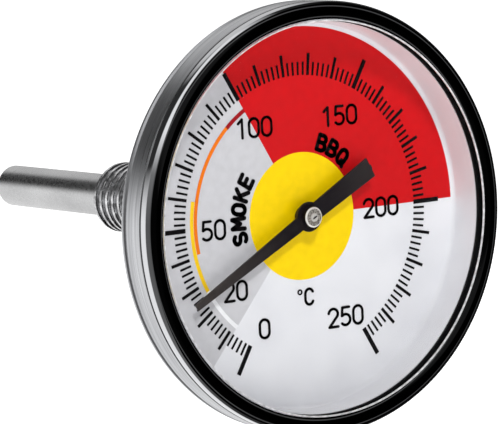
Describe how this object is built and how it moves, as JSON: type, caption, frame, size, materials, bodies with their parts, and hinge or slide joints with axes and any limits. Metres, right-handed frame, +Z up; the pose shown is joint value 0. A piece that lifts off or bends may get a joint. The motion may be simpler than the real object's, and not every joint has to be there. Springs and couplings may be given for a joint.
{
  "type": "dial thermometer",
  "caption": "Round bimetal dial thermometer with a deep steel bezel, glass lens, two-ended pointer, threaded shank and thin probe stem.",
  "frame": {"origin": "On the instrument's axis, in the plane of the collar's rear face, which seats on the lid.", "axes": "+Y along the stem towards its tip, so the dial faces -Y; +Z up through the 125 degree mark; +X to the viewer's right."},
  "size_m": [0.0572, 0.0802, 0.0572],
  "materials": {
    "polished_steel": "mirror-polished front roll, satin skirt",
    "lens_glass": "clear, flat",
    "black_rubber": "matte",
    "dial_enamel": "gloss white with printed scale",
    "satin_steel": "satin",
    "turned_steel": "turned",
    "bearing_brass": "turned",
    "bimetal": "rolled strip",
    "pointer_black": "satin black",
    "cap_metal": "turned and polished"
  },
  "bodies": {
    "case": {"bezel_ring": "polished_steel", "lens": "lens_glass", "lens_gasket": "black_rubber", "dial_plate": "dial_enamel", "case_pan": "satin_steel", "threaded_socket": "turned_steel", "stem_tube": "satin_steel", "upper_bearing": "bearing_brass", "lower_guide": "bearing_brass", "bimetal_coil": "bimetal", "anchor_plug": "turned_steel"},
    "movement": {"spindle": "turned_steel", "coil_collar": "turned_steel", "pointer": "pointer_black", "pointer_bush": "bearing_brass", "pointer_cap": "cap_metal"}
  },
  "joints": [
    {"name": "pointer_turn", "type": "hinge", "parent": "case", "child": "movement", "pos_m": [0, 0, 0], "axis": [0, 1, 0], "range_deg": [-31.8, 268.2], "stiffness_Nm_per_rad": 0.0015, "deforming": ["bimetal_coil"]}
  ]
}
